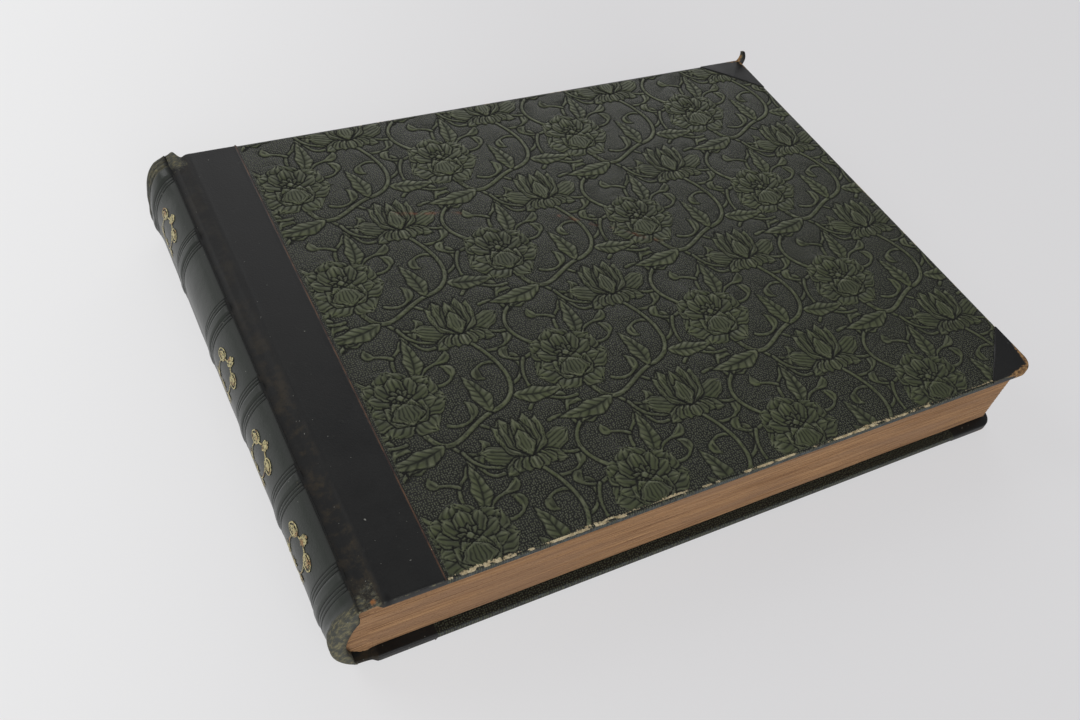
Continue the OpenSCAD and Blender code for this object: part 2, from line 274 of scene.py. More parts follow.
# Black calf, pared, glazed and much handled: nearly black with a soft uneven sheen and a fine
# grain, grey scuffs and specks, olive where the dye is rubbed off, tan where it is worn through.
# The spine's lighter colour is partly a painted sheen, near-black in creases and recesses is
# painted shade, and light lines on some ridges are painted highlights
def worn_black_leather():
    made, tree, shader, place = finish("worn_black_leather", 0.45)
    shader.inputs["Specular IOR Level"].default_value = 0.42
    marks = ("glaze_and_sheen", "valley", "dark")
    glaze_and_sheen, valley, dark = (add(tree, "Attribute", {}, "Fac", attribute_name=m) for m in marks)
    mottle = patches(tree, place, 26, 0.3, 0.7)
    brown = patches(tree, place, 7, 0.42, 0.68, 0.7)
    brown = add(tree, "Math", {0: brown, 1: valley}, operation="MULTIPLY")
    scuff = patches(tree, place, 3.4, 0.6, 0.8, 0.3, 8.0)
    rubbed_and_highlit = worn_patches(tree, place, "rub_and_highlight", 4.0)
    olive = two_tone(tree, place, (2.6, 0.8, 2.6), 0.42, 0.76, "#4a4b45", "#928a66")
    worn = worn_patches(tree, place, "wear", 2.2)
    hide = two_tone(tree, place, 1.8, 0.35, 0.65, "#4d3624", "#ad8657")
    orange = add(tree, "Math", {0: valley, 1: 0.6}, operation="MULTIPLY")
    hide = add(tree, "Mix", {0: orange, 6: hide, 7: "#a4622a"}, 2, data_type="RGBA")
    specks = patches(tree, place, 1.6, 0.775, 0.8, 0.7, 1.0)
    colour = "#0b0b0b"
    for share, coat in (
        (mottle, "#141413"),
        # The spine's own greener tone, made lighter as a painted sheen
        (glaze_and_sheen, "#313530"),
        (brown, "#3d3322"),
        (scuff, "#4c4c48"),
        # Olive where the dye is rubbed off; the same mark carries painted highlights on ridges
        (rubbed_and_highlit, olive),
        (worn, hide),
        (specks, "#9a9a92"),
        # Near-black: painted shade in the joint crease, at the band ends and inside the caps; it
        # also darkens the blind lines and the corners' inner edges
        (dark, "#070707"),
    ):
        colour = add(tree, "Mix", {0: share, 6: colour, 7: coat}, 2, data_type="RGBA")
    dull = add(tree, "Math", {0: rubbed_and_highlit, 1: worn}, operation="MAXIMUM")
    dull = add(tree, "Math", {0: dull, 1: dark}, operation="MAXIMUM")
    sheen = 0.46
    for share, rough in ((mottle, 0.56), (glaze_and_sheen, 0.34), (valley, 0.72), (dull, 0.85)):
        sheen = add(tree, "Mix", {0: share, 2: sheen, 3: rough})
    tree.links.new(sheen, shader.inputs["Roughness"])
    pores = add(tree, "TexVoronoi", {"Vector": place, "Scale": per_mm(0.8)}, "Distance")
    grain = add(tree, "TexNoise", {"Vector": place, "Scale": per_mm(1.6), "Detail": 4.0})
    grain = add(tree, "Math", {0: pores, 1: grain}, operation="ADD")
    surface(tree, shader, colour, grain, 0.05, 0.6)
    return made


# Paper pressed between hot plates to pass for tooled leather: a ground of fine pebbles with
# painted light on their tops and painted shade in their gaps, olive flowers whose sunk outlines
# and veins are painted dark as shade and whose crests carry a painted highlight, and a dull waxy
# gloss. Worn arrises show its cream pulp, and the turned edges are bleached to a bluish grey.
def pressed_paper():
    made, tree, shader, place = finish("pressed_paper", 0.45)
    marks = ("raised", "lined", "crest_highlight")
    raised, lined, crest_highlight = (add(tree, "Attribute", {}, "Fac", attribute_name=m) for m in marks)
    # Painted light and shade on the pebbles: light tops, dark gaps
    dots = {"Vector": place, "Scale": per_mm(1.05), "Randomness": 0.6}
    pebble = add(tree, "TexVoronoi", dots, "Distance", voronoi_dimensions="2D")
    limits = {"Value": pebble, "From Min": 0.1, "From Max": 0.43, "To Min": 1.0, "To Max": 0.0}
    pebble = add(tree, "MapRange", limits, interpolation_type="SMOOTHSTEP")
    motif = two_tone(tree, place, 45, 0.35, 0.65, "#31371d", "#424929")
    # Painted highlight on the crests of the flowers, leaves and stems
    ridge = two_tone(tree, place, 5, 0.25, 0.7, "#545c34", "#73765e", 8.0)
    motif = add(tree, "Mix", {0: crest_highlight, 6: motif, 7: ridge}, 2, data_type="RGBA")
    flecks = patches(tree, place, 1.2, 0.68, 0.8, 0.35, 6.0)
    edge = worn_patches(tree, place, "edge", 3.0, 0.5)
    bleached = two_tone(tree, place, 2.4, 0.3, 0.7, "#24292a", "#50595b")
    worn = worn_patches(tree, place, "wear", 1.4, 1.5)
    pulp = two_tone(tree, place, 2.5, 0.3, 0.7, "#a08d68", "#d9c9a4")
    colour = "#0c0e05"
    for share, coat in (
        (pebble, "#53573f"),
        (raised, motif),
        # Painted shade: near-black in the sunk outlines and veins; the stems' dark lines use it too
        (lined, "#0a0b06"),
        (flecks, "#77786a"),
        (scratch(tree, place), "#7c4a30"),
        (edge, bleached),
        (worn, pulp),
    ):
        colour = add(tree, "Mix", {0: share, 6: colour, 7: coat}, 2, data_type="RGBA")
    dull = add(tree, "Mix", {0: lined, 2: 0.46, 3: 0.95})
    tree.links.new(dull, shader.inputs["Roughness"])
    height = add(tree, "Mix", {0: raised, 2: pebble, 3: 0.5})
    surface(tree, shader, colour, height, 0.25, 0.8)
    return made


# Ends of the two faint scratches across the front panel, from the strip's edge and the tail
SCRATCHES = [((51, 192), (86, 182)), ((133, 166), (174, 134))]


def scratch(tree, place):
    """Strength of the scratches: patchy along their line and 0 away from it."""
    total = 0.0
    for start, end in SCRATCHES:
        a, b = (Vector((X_STRIP + x, y - HALF_H, TOP)) * MM for x, y in (start, end))
        along = (b - a).normalized()
        away = add(tree, "VectorMath", {0: place, 1: a}, operation="SUBTRACT")
        reach = add(tree, "VectorMath", {0: away, 1: along}, "Value", operation="DOT_PRODUCT")
        reach = add(tree, "Clamp", {"Value": reach, "Min": 0.0, "Max": (b - a).length})
        nearest = add(tree, "VectorMath", {0: along, "Scale": reach}, operation="SCALE")
        apart = add(tree, "VectorMath", {0: away, 1: nearest}, "Value", operation="DISTANCE")
        limits = {"Value": apart, "From Min": 0.3 * MM, "From Max": 1.8 * MM}
        limits.update({"To Min": 1.0, "To Max": 0.0})
        mark = add(tree, "MapRange", limits, interpolation_type="SMOOTHSTEP")
        total = add(tree, "Math", {0: total, 1: mark}, operation="MAXIMUM")
    broken = patches(tree, place, 5, 0.46, 0.66, 0.6)
    return add(tree, "Math", {0: total, 1: broken}, operation="MULTIPLY")


# Rag paper leaves, cut, gone tan and dusty: fine layers along the book with painted shade in the
# gaps between them, darker where damp or soot got in, and lighter towards the top of the block
def aged_leaves():
    made, tree, shader, place = finish("aged_leaves", 0.8)
    sheets = add(tree, "Mapping", {"Vector": place, "Scale": per_mm(45, 45, 0.5)})
    cloud = {"Vector": sheets, "Scale": 1.0, "Detail": 6.0, "Roughness": 0.6}
    sheets = add(tree, "TexNoise", cloud)
    limits = {"Value": sheets, "From Min": 0.3, "From Max": 0.72}
    layers = add(tree, "MapRange", limits, interpolation_type="SMOOTHSTEP")
    broad = patches(tree, place, (70, 70, 7), 0.38, 0.66, 0.6, rough=0.65)
    limits = {"Value": sheets, "From Min": 0.4, "From Max": 0.26, "To Max": 0.75}
    gaps = add(tree, "MapRange", limits, interpolation_type="SMOOTHSTEP")
    soot = patches(tree, place, 1.3, 0.54, 0.74, 0.6, 6.0)
    lighter_top_leaves = worn_patches(tree, place, "wear", 5.0)
    colour = "#846040"
    for share, coat in (
        (layers, "#b99168"),
        (broad, "#8f7057"),
        # Painted shade in the gaps between the leaves
        (gaps, "#4a3220"),
        (soot, "#5a4029"),
        # Lighter towards the top of the block
        (lighter_top_leaves, "#c7a57c"),
    ):
        colour = add(tree, "Mix", {0: share, 6: colour, 7: coat}, 2, data_type="RGBA")
    surface(tree, shader, colour, sheets, 0.3, 0.9)
    return made


# Thin wove endpaper, pasted and foxed: matt cream that browns in soft spots and clouds
def foxed_endpaper():
    made, tree, shader, place = finish("foxed_endpaper", 0.85)
    colour = two_tone(tree, place, 60, 0.3, 0.7, "#bda983", "#cfc09b")
    foxing = patches(tree, place, 4, 0.64, 0.76, 0.55, 3.0)
    colour = add(tree, "Mix", {0: foxing, 6: colour, 7: "#9c7748"}, 2, data_type="RGBA")
    fibre = add(tree, "TexNoise", {"Vector": place, "Scale": per_mm(0.7), "Detail": 4.0})
    surface(tree, shader, colour, fibre, 0.03)
    return made


# Rope-fibre pasteboard, pressed in sheets: grey-brown with faint layers on its cut edges
def pasteboard():
    made, tree, shader, place = finish("pasteboard", 0.9)
    layers = add(tree, "Mapping", {"Vector": place, "Scale": per_mm(12, 12, 0.5)})
    layers = add(tree, "TexNoise", {"Vector": layers, "Scale": 1.0, "Detail": 4.0})
    colour = add(tree, "Mix", {0: layers, 6: "#5f5240", 7: "#96815f"}, 2, data_type="RGBA")
    fibre = add(tree, "TexNoise", {"Vector": place, "Scale": per_mm(0.8), "Detail": 5.0})
    surface(tree, shader, colour, fibre, 0.1)
    return made


# Kraft paper linings with old animal glue: brown, blotched darker where the glue is thick
def glued_linings():
    made, tree, shader, place = finish("glued_linings", 0.75)
    colour = two_tone(tree, place, 8, 0.4, 0.6, "#84694a", "#5c4227")
    fibre = add(tree, "TexNoise", {"Vector": place, "Scale": per_mm(1.0), "Detail": 5.0})
    surface(tree, shader, colour, fibre, 0.1)
    return made


# Frayed-out hemp cord: straw brown, with the slant of its laid strands
def hemp_cord():
    made, tree, shader, place = finish("hemp_cord", 0.9)
    strands = add(tree, "TexWave", {"Vector": place, "Scale": per_mm(6), "Distortion": 2.0})
    colour = add(tree, "Mix", {0: strands, 6: "#7f6b48", 7: "#b09b70"}, 2, data_type="RGBA")
    surface(tree, shader, colour, strands, 0.2)
    return made


# Gold leaf struck with hot brass tools: pale gold with coppery places, crumbled to bare
# leather in small flecks
def gold_tooling():
    made, tree, shader, place = finish("gold_tooling", 0.42, 0.3)
    gold = two_tone(tree, place, 4, 0.52, 0.66, "#d3c791", "#a98457", 2.0)
    crumbled = patches(tree, place, 0.8, 0.48, 0.58, 0.9)
    colour = add(tree, "Mix", {0: crumbled, 6: gold, 7: "#3c3829"}, 2, data_type="RGBA")
    surface(tree, shader, colour, crumbled, 0.05, 0.6)
    return made


# A gilt rule rolled along the edge of the leather, tarnished: reddish brown, gold in short
# runs, with rare chips of cream pulp
def ruled_gilt():
    made, tree, shader, place = finish("ruled_gilt", 0.5)
    colour = two_tone(tree, place, 14, 0.42, 0.62, "#291712", "#5b402a")
    chips = patches(tree, place, 4.5, 0.69, 0.72, 1.0, 3.0)
    colour = add(tree, "Mix", {0: chips, 6: colour, 7: "#b9ab88"}, 2, data_type="RGBA")
    tree.links.new(colour, shader.inputs["Base Color"])
    return made


# Seamless white paper: matt, and lit up a little in the picture as studio paper is
def studio_paper():
    made, tree, shader, place = finish("studio_paper", 0.8)
    tone = add(tree, "TexNoise", {"Vector": place, "Scale": per_mm(300), "Detail": 2.0})
    colour = add(tree, "Mix", {0: tone, 6: "#dddde0", 7: "#e1e1e3"}, 2, data_type="RGBA")
    tree.links.new(colour, shader.inputs["Base Color"])
    seen = add(tree, "LightPath", {}, "Is Camera Ray")
    for ray in ("Is Glossy Ray", "Is Transmission Ray"):
        seen = add(tree, "Math", {0: seen, 1: add(tree, "LightPath", {}, ray)}, operation="MAXIMUM")
    share = add(tree, "Math", {0: seen, 1: 0.7}, operation="MULTIPLY")
    # Painted light: the floor's glow is whiter towards -X and +Y and greyer towards +X and -Y
    across = {0: place, 1: (0.94, -0.33, 0)}
    across = add(tree, "VectorMath", across, "Value", operation="DOT_PRODUCT")
    limits = {"Value": across, "From Min": -0.4, "From Max": 0.1}
    across = add(tree, "MapRange", limits, interpolation_type="SMOOTHSTEP")
    glow = add(tree, "Mix", {0: across, 6: "#ffffff", 7: "#e3e2e3"}, 2, data_type="RGBA")
    glow = add(tree, "Emission", {"Color": glow, "Strength": 1.0})
    both = add(tree, "MixShader", {0: share, 1: shader.outputs[0], 2: glow})
    tree.links.new(both, tree.nodes["Material Output"].inputs["Surface"])
    return made


LEATHER = worn_black_leather()
PAPER = pressed_paper()
LEAVES = aged_leaves()


# The embossed pattern

# Motifs are drawn for a repeat of 96 by 86 and pressed at SCALE
REPEAT_X = 78.0
REPEAT_Y = 70.0
SCALE = REPEAT_X / 96

# Height of a petal, and the sunk line round each motif
RELIEF_LOW = 0.2
LINE_W = 0.9
LINE_D = 0.14

# Grid of a panel, and the faces left when it is thinned where it is flat
PANEL_PITCH = {"front": 0.46, "back": 0.8}
PANEL_FACES = {"front": 192000, "back": 90000}


class Relief:
    """A height field over a panel, in millimetres above the ground of the paper."""

    def __init__(self, xs, ys):
        self.xs, self.ys = xs, ys
        self.x, self.y = np.meshgrid(xs, ys)
        self.height = np.zeros_like(self.x)
        self.raised = np.zeros_like(self.x)
        self.lined = np.zeros_like(self.x)
        self.crest_highlight = np.zeros_like(self.x)

    def press(self, at, turn, reach, shape):
        """Presses a motif over what is there, with a sunk line round its outline, painted dark as
        shade.

        The shape gives its margin inside the outline, its height and its veins.
        """
        i0, i1 = np.searchsorted(self.xs, [at[0] - reach, at[0] + reach])
        j0, j1 = np.searchsorted(self.ys, [at[1] - reach, at[1] + reach])
        if i0 >= i1 or j0 >= j1:
            return
        part = (slice(j0, j1), slice(i0, i1))
        dx, dy = self.x[part] - at[0], self.y[part] - at[1]
        c, s = cos(radians(turn)), sin(radians(turn))
        margin, height, vein = shape(dx * c + dy * s, dy * c - dx * s)
        inside = margin > 0
        # The sunk outline, the rim and the veins are marked to be painted dark as shade
        around = np.where(inside, 0, np.clip(1.6 * (1 + margin / LINE_W), 0, 1))
        rim = np.clip(1 - margin / 0.5, 0, 1) * inside
        lines = np.maximum(vein, 0.4 * rim)
        # A painted highlight just inside the outline and between the veins
        crest_highlight = np.clip(0.8 * mound(0.9, 0.5, margin) + 0.5 * (1 - vein) - 0.3, 0, 1)
        for grid, within, beside in (
            (self.height, height - 0.1 * rim, -LINE_D),
            (self.raised, 1.0, 0.0),
            (self.lined, lines, 1.0),
            (self.crest_highlight, crest_highlight, 0.0),
        ):
            old = grid[part]
            grid[part] = np.where(inside, within, old + around * (beside - old))


def petal(length, width, curl, swell, level=RELIEF_LOW, crown=0.1, veins=5, rib=0.0, lobes=0.0):
    """A petal or leaf along +X: veined from root to tip, or ribbed to both sides."""

    def shape(dx, dy):
        t = dx / length
        inside = np.clip(t, 0, 1)
        half = width / 2 * np.sin(pi * inside**swell) * (1 + 0.1 * np.cos(5 * pi * inside)) + 1e-6
        side = dy - curl * t * np.abs(t)
        u = side / half
        notch = 0.5 - 0.5 * np.cos(3 * pi * np.clip(np.abs(u), 0, 1))
        tip = length * (1 - 0.5 * lobes * notch)
        margin = np.minimum(half - np.abs(side), tip - dx)
        margin = np.where(dx < 0, -np.hypot(dx, side), margin)
        margin = np.where(dx > length, -np.hypot(dx - length, side), margin)
        u = np.clip(u, -1, 1)
        fade = smooth(1.0, 0.8, inside) * smooth(0.0, 0.15, inside)
        groove = (0.5 - 0.5 * np.cos(pi * veins * (u + 1))) ** 3 * fade
        if rib:
            slant = 0.5 - 0.5 * np.cos(2 * pi * (rib * inside - 0.9 * np.abs(u)))
            groove = np.maximum(smooth(0.2, 0.06, np.abs(u)), 0.8 * slant**3) * fade
        height = level + crown * np.sqrt(1 - u * u) - 0.12 * groove
        return margin, height, 0.9 * groove

    return shape


def curve(points, count=34):
    """Points along a cubic curve."""
    t = np.linspace(0, 1, count)[:, None]
    a, b, c, d = (np.array(point, float) for point in points)
    return (1 - t) ** 3 * a + 3 * t * (1 - t) ** 2 * b + 3 * t * t * (1 - t) * c + t**3 * d


def ribbon(route, wide, level=0.14, crown=0.1):
    """A stem along a route, with a dark line down its middle and two more where it is wide."""

    def shape(dx, dy):
        nearest = np.full(dx.shape, 1e9)
        half = np.ones(dx.shape)
        for a, b, w in zip(route[:-1], route[1:], wide):
            along = b - a
            k = np.clip(((dx - a[0]) * along[0] + (dy - a[1]) * along[1]) / (along @ along), 0, 1)
            apart = np.hypot(dx - a[0] - k * along[0], dy - a[1] - k * along[1]) / (w / 2)
            half = np.where(apart < nearest, w / 2, half)
            nearest = np.minimum(nearest, apart)
        u = np.clip(nearest, 0, 1)
        ridge = np.sqrt(1 - (2 * u - 1) ** 2)
        beside = smooth(0.2, 0.0, np.abs(u - 0.55)) * smooth(0.9, 1.3, half)
        vein = 0.8 * np.maximum(smooth(0.3, 0.0, u), beside)
        return half * (1 - nearest), level + crown * ridge, vein

    return shape


def press_stem(relief, origin, points, w0, w1, drop=0.0):
    """Presses a stem that tapers from w0 to w1, swelling to a leaf before its pointed end."""
    route = curve(points) * SCALE
    t = np.linspace(0, 1, len(route))
    wide = w0 + (w1 - w0) * t + drop * mound(0.74, 0.17, t)
    centre = (route.min(axis=0) + route.max(axis=0)) / 2
    reach = np.abs(route - centre).max() + w0 + drop
    at = (origin[0] + centre[0], origin[1] + centre[1])
    relief.press(at, 0, reach, ribbon(route - centre, wide))


def press_petal(relief, origin, at, turn, length, width, curl=0.0, swell=1.15, **look):
    place = (origin[0] + at[0] * SCALE, origin[1] + at[1] * SCALE)
    length, width, curl = length * SCALE, width * SCALE, curl * SCALE
    reach = length + abs(curl) + 2 * SCALE + 1
    relief.press(place, turn, reach, petal(length, width, curl, swell, **look))


def press_leaf(relief, origin, at, turn, length, width, curl):
    press_petal(relief, origin, at, turn, length, width, curl, 0.75, level=0.16, crown=0.14, rib=7)


def press_peony(relief, origin):
    """An open peony seen at a slant: outer petals, a heart of stamens and a cup in front."""
    put = partial(press_petal, relief, origin)
    for i in (-3, 3, -2, 2, -1, 1, 0):
        curl = 2 if i % 2 == 0 else -2
        put((0, -1), 90 + 49 * i, 25 - 0.8 * abs(i), 19, curl, 1.5, lobes=0.25)
    for i in (-3, 3, -2, 2, -1, 1, 0):
        put((0, 1), 90 + 36 * i, 18, 10, -i, 1.4, level=0.24, veins=3, lobes=0.15)
    for turn in range(0, 360, 40):
        put((0, 4), turn, 6.5, 2.6, level=0.26, veins=1)
    put((0, 2.2), 90, 4, 4, 0, 1.0, level=0.3, veins=0)
    for i in (-2, 2, -1, 1):
        put((0, -14), 90 + 26 * i, 17, 10, -2.5 * i, 1.2, level=0.26)
    put((0, -14), 90, 14.5, 17, 0, 1.0, level=0.3, veins=7)


def press_closed_peony(relief, origin):
    """A half-closed peony from the side: upright petals between two open ones, over a skirt."""
    put = partial(press_petal, relief, origin)
    for side in (-1, 1):
        put((side * 2, -8), 90 - side * 74, 25, 12, side * 3, 1.3, lobes=0.3)
        put((side, -7), 90 - side * 112, 18, 8, side * -2, 1.3, veins=3)
    for i in (-2, 2, -1, 1, 0):
        put((i * 2.4, -6), 270 + 16 * i, 11, 6.5, 0, 1.5, level=0.22, veins=2)
    for i in (-2, 2, -1, 1):
        put((0, -8), 90 + 21 * i, 29 - 2 * abs(i), 11, -3 * i, 0.95)
    for i in (-1, 1, 0):
        put((0, -8), 90 + 13 * i, 25 - 3 * abs(i), 8, -2 * i, 0.9, level=0.26, veins=3)
    put((0, -8), 90, 17, 10, 0, 0.9, level=0.3)


# Curves of the tendrils in one repeat, from the open peony's middle
TENDRILS = [
    [(57, 10), (48, 16), (38, 6), (46, 2)],
    [(58, -6), (70, -4), (72, 14), (63, 13)],
    [(54, 20), (66, 16), (74, 24), (70, 32)],
    [(18, 6), (30, 2), (36, 14), (28, 17)],
    [(14, 12), (20, 24), (34, 16), (34, 27)],
    [(4, 22), (4, 36), (18, 34), (16, 43)],
    [(6, 30), (0, 36), (-8, 32), (-6, 40)],
    [(30, 30), (20, 28), (18, 42), (25, 45)],
    [(12, -32), (18, -46), (34, -42), (27, -34)],
    [(16, -38), (20, -54), (34, -54), (35, -46)],
    [(-18, 10), (-30, 4), (-38, 16), (-29, 18)],
    [(-24, 8), (-34, -6), (-26, -16), (-31, -20)],
    [(-22, 30), (-34, 28), (-40, 40), (-32, 42)],
    [(-8, -24), (-18, -26), (-28, -18), (-24, -12)],
    [(66, 52), (80, 56), (84, 44), (77, 43)],
    [(60, 62), (72, 74), (84, 66), (79, 59)],
    [(-16, 44), (-22, 54), (-14, 64), (-8, 58)],
    [(16, -20), (26, -27), (37, -16), (30, -9)],
    [(30, -23), (36, -32), (44, -30), (41, -25)],
]


def press_tendrils(relief, origin):
    for points in TENDRILS:
        press_stem(relief, origin, points, 1.7, 0.5, 3.4)


def press_stems(relief, origin):
    """The stems with their leaves and a bud."""
    press_stem(relief, origin, [(1, -15), (8, -48), (24, -22), (42, -19)], 2.4, 1.9)
    press_stem(relief, origin, [(42, -19), (62, -15), (64, 6), (48, 30)], 2.1, 1.7)
    press_stem(relief, origin, [(-9, 12), (-20, 20), (-30, 34), (-14, 46)], 2.0, 1.6)
    press_leaf(relief, origin, (9, -31), 205, 32, 11, -11)
    press_leaf(relief, origin, (40, -19), 84, 26, 10, 8)
    press_leaf(relief, origin, (56, -13), -24, 27, 10, 8)
    press_leaf(relief, origin, (12, 14), 66, 26, 10, 8)
    for i in (-1, 1, 0):
        press_petal(relief, origin, (-14, 45), 40 + 24 * i, 14 - 2 * abs(i), 6.5, 0, 1.0, veins=2)


def press_flowers(relief, origin):
    press_peony(relief, origin)
    press_closed_peony(relief, (origin[0] + REPEAT_X / 2, origin[1] + REPEAT_Y / 2))


# Covers: pieces are drawn for the front cover and turned over for the back


def placed(points, front):
    """Points of the front cover, put where they belong on the front or the back cover."""
    turned = np.array(points, float)
    if not front:
        turned[..., 2] = TOP - turned[..., 2]
    return turned


def side_name(front):
    return "front" if front else "back"


def paper_edge_distance(x, y):
    """Distance inside the outline of the side paper."""
    to_corner = (X_FORE - x + HALF_H - np.abs(y) - CORNER_W) / sqrt(2)
    sides = np.minimum(np.minimum(x - X_STRIP, X_FORE - x), HALF_H - np.abs(y))
    return np.minimum(sides, to_corner)


def side_panel(front):
    """The embossed face of a cover, thinned where it is flat."""
    side = side_name(front)
    pitch = PANEL_PITCH[side]
    xs = np.append(np.arange(X_STRIP - 0.4, X_FORE - EDGE_R - pitch / 2, pitch), X_FORE - EDGE_R)
    ys = np.linspace(-HALF_H + EDGE_R, HALF_H - EDGE_R, int(2 * HALF_H / pitch))
    relief = Relief(xs, ys)
    rows = int(HALF_H / REPEAT_Y) + 2
    for press in (press_tendrils, press_stems, press_flowers):
        for i in range(-1, int((X_FORE - X_STRIP) / REPEAT_X) + 2):
            for j in range(-rows, rows + 1):
                press(relief, (X_STRIP + (i + 0.2) * REPEAT_X, (j + 0.3) * REPEAT_Y))
    fade = smooth(0.8, 2.0, paper_edge_distance(relief.x, relief.y))
    z = TOP - PAPER_DROP + np.minimum(relief.height * fade, PAPER_DROP + 0.02)
    points = placed(np.dstack([relief.x, relief.y, z]), front)
    faces = grid_faces(*relief.x.shape)
    centre = paper_edge_distance(relief.x, relief.y).ravel()[faces].mean(axis=1)
    faces = faces[centre > -2]
    faces = faces if front else faces[:, ::-1]
    panel = piece(f"{side}_panel", points.reshape(-1, 3), faces.tolist(), PAPER)
    thin = panel.modifiers.new("thin", "DECIMATE")
    thin.ratio = min(1.0, PANEL_FACES[side] / (2 * len(faces)))
    apply_modifiers(panel)
    place = np.empty(3 * len(panel.data.vertices))
    panel.data.vertices.foreach_get("co", place)
    place = place.reshape(-1, 3) / MM
    column = np.clip(np.searchsorted(xs, place[:, 0] - pitch / 2), 0, len(xs) - 1)
    row = np.clip(np.searchsorted(ys, place[:, 1] - pitch / 2), 0, len(ys) - 1)
    marks = ("raised", "lined", "crest_highlight")
    looks = {mark: (getattr(relief, mark) * fade)[row, column] for mark in marks}
    chips = 0.3 + 0.9 * (noise(place[:, 0], 0, 15, 3) - 0.5)
    looks["wear"] = chips * smooth(2.0, 0.2, place[:, 1] + HALF_H - EDGE_R) * front
    marked(panel.data, looks)
    panel.data.shade_smooth()
    return panel


def wrap_profile(z_outer, z_inner, reach):
    """Section of a covering over a board's edge, as (distance inside the edge, z) pairs."""
    r, steps = EDGE_R, 6
    arc = [pi / 2 * k / steps for k in range(steps + 1)]
    over = [(r - r * sin(a), z_outer - r + r * cos(a)) for a in arc]
    face = [(0.0, z) for z in np.linspace(z_outer - r, z_inner + r, 7)[1:-1]]
    under = [(r - r * cos(a), z_inner + r - r * sin(a)) for a in arc]
    return np.array(over + face + under + [(reach / 2, z_inner), (reach, z_inner)])


def straight(start, end, pitch=0.6):
    """Points along a straight line."""
    count = max(2, int(hypot(end[0] - start[0], end[1] - start[1]) / pitch))
    t = np.linspace(0, 1, count)[:, None]
    return np.array(start) * (1 - t) + np.array(end) * t


def swept(path, inward, profile):
    """Points of a section carried along a path, (along, round, 3)."""
    xy = path[:, None, :] + inward[:, None, :] * profile[None, :, :1]
    z = np.broadcast_to(profile[None, :, 1:], xy.shape[:2] + (1,))
    return np.concatenate([xy, z], axis=2)


def paper_edge(front, end):
    """The side paper turned over the tail, fore or head edge of a board, chipped at the arris."""
    lines = {
        "tail": ((X_STRIP, -HALF_H), (X_FORE - CORNER_W, -HALF_H), (0, 1)),
        "fore": ((X_FORE, -HALF_H + CORNER_W), (X_FORE, HALF_H - CORNER_W), (-1, 0)),
        "head": ((X_FORE - CORNER_W, HALF_H), (X_STRIP, HALF_H), (0, -1)),
    }
    start, stop, inward = lines[end]
    path = straight(start, stop)
    profile = wrap_profile(TOP - PAPER_DROP, TOP - COVER_T, TURN_IN)
    drawn = swept(path, np.broadcast_to(inward, path.shape), profile)
    along = drawn[..., 0] + drawn[..., 1]
    depth = TOP - PAPER_DROP - drawn[..., 2]
    patchy = noise(along, 0 * along, 15, 3) - 0.5 + (noise(along, depth, 2.4, 5) - 0.5)
    chipped = {"tail": 0.42, "fore": 0.2, "head": 0.1}[end] if front else 0.12
    arris = smooth(1.1, 0.1, depth) * (drawn[..., 2] > TOP - COVER_T + 0.1)
    scuffed = 0.55 * mound(COVER_T - PAPER_DROP - 0.6, 0.5, depth) * (not front)
    looks = {
        "wear": arris * (chipped + 0.7 * patchy),
        "edge": (0.5 if front else 0.32) * smooth(0.3, 0.9, depth) + 0.3 * scuffed,
        "lined": 0.35 * smooth(0.5, 1.2, depth) * (1 - scuffed),
    }
    name = f"{side_name(front)}_paper_{end}_edge"
    return grid_piece(name, placed(drawn, front), PAPER, looks, flip=not front)


def corner_outline(side, radius, steps=18):
    """Board edge round a fore-edge corner, with inward directions; side -1 tail, 1 head."""
    turns = [pi / 2 * k / steps for k in range(steps + 1)]
    arc = [(X_FORE - radius * (1 - cos(a)), side * (HALF_H - radius * (1 - sin(a)))) for a in turns]
    arc_in = [(-cos(a), -side * sin(a)) for a in turns]
    start = straight((X_FORE, side * (HALF_H - CORNER_W)), arc[0])[:-1]
    end = straight(arc[-1], (X_FORE - CORNER_W, side * HALF_H))[1:]
    path = np.vstack([start, arc, end])
    inward = np.vstack([[(-1, 0)] * len(start), arc_in, [(0, -side)] * len(end)])
    return path, inward


